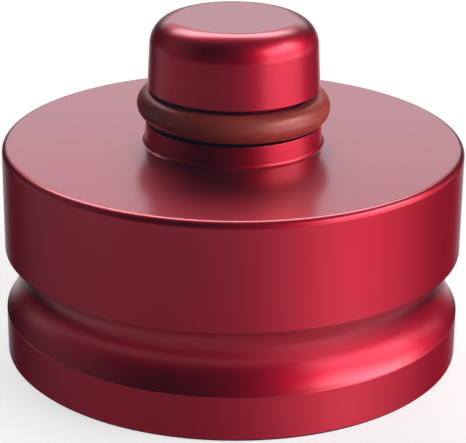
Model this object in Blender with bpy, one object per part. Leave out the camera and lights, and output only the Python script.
"""Vehicle jack pad adapter: a turned aluminium pad with a tapered locating
stud, and the rubber O-ring that sits in the stud's gland.

Units are metres, +Z is up.  The origin is the centre of the underside, and
both pieces are turned about +Z.
"""
import math

import bmesh
import bpy

MM = 0.001

# Puck
PAD_RADIUS = 38.0 * MM
PAD_HEIGHT = 36.0 * MM              # underside to bearing face
BASE_CHAMFER = 0.40 * MM            # bottom edge of the foot band
TOP_EDGE_RADIUS = 1.10 * MM         # rounded rim of the bearing face
BAND_HEIGHT = 7.60 * MM             # foot band, underside to groove
GROOVE_WIDTH = 10.80 * MM           # grip groove, lip to lip
GROOVE_DEPTH = 2.10 * MM            # grip groove, at its deepest
LIP_BREAK = 0.20 * MM               # broken edges of groove and gland

# Locating stud, heights measured up from the bearing face
STUD_FOOT_RADIUS = 14.62 * MM       # cone wall carried down to the face
STUD_TAPER = 0.0529                 # radius lost per unit of height (about 3 deg)
STUD_FOOT_FILLET = 0.60 * MM        # corner left by the turning tool's nose
STUD_HEIGHT = 20.75 * MM
STUD_NOSE_RADIUS = 4.40 * MM        # rounded lead-in

# O-ring gland in the stud
GLAND_BOTTOM = 3.50 * MM
GLAND_TOP = 9.30 * MM
GLAND_FLOOR_RADIUS = 11.05 * MM
GLAND_CORNER = 0.35 * MM

# O-ring
CORD_RADIUS = 4.60 * MM / 2.0       # rubber cord, from its diameter
RING_OUTER_RADIUS = 15.85 * MM
RING_HEIGHT = 6.12 * MM             # cord centre above the bearing face

# Mesh resolution
TURN_STEPS = 72                     # round the axis
CORD_STEPS = 14                     # round the cord
GROOVE_STEPS = 12
TOP_EDGE_STEPS = 5
FILLET_STEPS = 5
GLAND_CORNER_STEPS = 2
NOSE_STEPS = 9
MERGE_DISTANCE = 1e-7
SHARP_ANGLE = math.radians(32.0)    # edges steeper than this shade sharp

AXIS_DISPLAY_SIZE = 20.0 * MM


def clear_scene():
    for obj in list(bpy.data.objects):
        bpy.data.objects.remove(obj, do_unlink=True)


# ----------------------------------------------------------------- materials
def make_material(name, colour, roughness, metallic, coat):
    material = bpy.data.materials.new(name)
    material.use_nodes = True
    inputs = material.node_tree.nodes["Principled BSDF"].inputs
    inputs["Base Color"].default_value = (*colour, 1.0)
    inputs["Roughness"].default_value = roughness
    inputs["Metallic"].default_value = metallic
    inputs["Coat Weight"].default_value = coat
    material.diffuse_color = (*colour, 1.0)
    return material


def anodised_red():
    return make_material("anodised_red", colour=(0.46, 0.015, 0.045),
                         roughness=0.28, metallic=1.0, coat=0.6)


def brown_rubber():
    return make_material("brown_rubber", colour=(0.24, 0.055, 0.045),
                         roughness=0.45, metallic=0.0, coat=0.0)


# ------------------------------------------- profiles, as (radius, z) points
def arc(centre, radius, start_deg, end_deg, steps):
    """Points along an arc in the (radius, z) half plane, ends included."""
    points = []
    for i in range(steps + 1):
        angle = math.radians(start_deg + (end_deg - start_deg) * i / steps)
        points.append((centre[0] + radius * math.cos(angle),
                       centre[1] + radius * math.sin(angle)))
    return points


def groove_profile():
    """Grip groove, bottom to top: one circular arc between broken edges."""
    low = BAND_HEIGHT
    high = low + GROOVE_WIDTH
    half_width = GROOVE_WIDTH / 2.0
    # radius of the circle through both lips and the deepest point
    radius = (half_width ** 2 + GROOVE_DEPTH ** 2) / (2.0 * GROOVE_DEPTH)
    centre = (PAD_RADIUS - GROOVE_DEPTH + radius, (low + high) / 2.0)
    # the arc stops short of each lip by the length of the broken edge
    swing = math.degrees(math.asin(half_width / radius) - LIP_BREAK / radius)
    return [
        (PAD_RADIUS, low - LIP_BREAK),
        *arc(centre, radius, 180.0 + swing, 180.0 - swing, GROOVE_STEPS),
        (PAD_RADIUS, high + LIP_BREAK),
    ]


def puck_profile():
    """From the centre of the underside, up the outer side, to the rim."""
    rim_centre = (PAD_RADIUS - TOP_EDGE_RADIUS, PAD_HEIGHT - TOP_EDGE_RADIUS)
    return [
        (0.0, 0.0),
        (PAD_RADIUS - BASE_CHAMFER, 0.0),
        (PAD_RADIUS, BASE_CHAMFER),
        *groove_profile(),
        *arc(rim_centre, TOP_EDGE_RADIUS, 0.0, 90.0, TOP_EDGE_STEPS),
    ]


def stud_wall(height):
    """Radius of the stud's cone at a height above the bearing face."""
    return STUD_FOOT_RADIUS - STUD_TAPER * height


def gland_profile():
    """Gland between broken lips, bottom to top, above the bearing face."""
    lip_low = GLAND_BOTTOM - LIP_BREAK
    lip_high = GLAND_TOP + LIP_BREAK
    corner_r = GLAND_FLOOR_RADIUS + GLAND_CORNER
    return [
        (stud_wall(lip_low), lip_low),
        (stud_wall(GLAND_BOTTOM) - LIP_BREAK, GLAND_BOTTOM),
        *arc((corner_r, GLAND_BOTTOM + GLAND_CORNER), GLAND_CORNER,
             270.0, 180.0, GLAND_CORNER_STEPS),
        *arc((corner_r, GLAND_TOP - GLAND_CORNER), GLAND_CORNER,
             180.0, 90.0, GLAND_CORNER_STEPS),
        (stud_wall(GLAND_TOP) - LIP_BREAK, GLAND_TOP),
        (stud_wall(lip_high), lip_high),
    ]


def stud_profile():
    """From the foot fillet to the centre of the tip, above the bearing face."""
    taper = math.atan(STUD_TAPER)
    taper_deg = math.degrees(taper)

    # concave fillet tangent to the bearing face and the cone
    fillet = STUD_FOOT_FILLET
    fillet_r = (stud_wall(fillet - fillet * math.sin(taper))
                + fillet * math.cos(taper))

    # convex nose tangent to the cone and the flat tip
    nose = STUD_NOSE_RADIUS
    nose_z = STUD_HEIGHT - nose
    nose_r = (stud_wall(nose_z + nose * math.sin(taper))
              - nose * math.cos(taper))

    return [
        *arc((fillet_r, fillet), fillet, 270.0, 180.0 + taper_deg, FILLET_STEPS),
        *gland_profile(),
        *arc((nose_r, nose_z), nose, taper_deg, 90.0, NOSE_STEPS),
        (0.0, STUD_HEIGHT),
    ]


# -------------------------------------------------------------------- pieces
def spin_profile(name, points, closed, material, parent, height=0.0):
    """Turn a half section once round +Z into a closed solid at a height."""
    bm = bmesh.new()
    verts = [bm.verts.new((radius, 0.0, z)) for radius, z in points]
    edges = [bm.edges.new(pair) for pair in zip(verts, verts[1:])]
    if closed:
        edges.append(bm.edges.new((verts[-1], verts[0])))
    bmesh.ops.spin(bm, geom=verts + edges, cent=(0.0, 0.0, 0.0),
                   axis=(0.0, 0.0, 1.0), dvec=(0.0, 0.0, 0.0),
                   angle=math.tau, steps=TURN_STEPS, use_merge=True)
    # points on the axis are spun into stacks of copies: weld them
    bmesh.ops.remove_doubles(bm, verts=bm.verts, dist=MERGE_DISTANCE)
    bmesh.ops.recalc_face_normals(bm, faces=bm.faces)

    mesh = bpy.data.meshes.new(name)
    bm.to_mesh(mesh)
    bm.free()
    mesh.shade_smooth()
    mesh.set_sharp_from_angle(angle=SHARP_ANGLE)
    mesh.materials.append(material)

    obj = bpy.data.objects.new(name, mesh)
    obj.location.z = height
    obj.parent = parent
    bpy.context.scene.collection.objects.link(obj)


def add_axis():
    """Empty at the origin that carries both pieces."""
    axis = bpy.data.objects.new("adapter_axis", None)
    axis.empty_display_size = AXIS_DISPLAY_SIZE
    bpy.context.scene.collection.objects.link(axis)
    return axis


def add_pad_body(parent):
    stud = [(radius, PAD_HEIGHT + z) for radius, z in stud_profile()]
    spin_profile("pad_body", puck_profile() + stud, closed=False,
                 material=anodised_red(), parent=parent)


def add_o_ring(parent):
    """Round cord whose bore clears the gland floor."""
    circle = arc((RING_OUTER_RADIUS - CORD_RADIUS, 0.0), CORD_RADIUS,
                 0.0, 360.0, CORD_STEPS)
    # the last point repeats the first
    spin_profile("retention_o_ring", circle[:-1], closed=True,
                 material=brown_rubber(), parent=parent,
                 height=PAD_HEIGHT + RING_HEIGHT)


def main():
    clear_scene()
    axis = add_axis()
    add_pad_body(axis)
    add_o_ring(axis)


main()
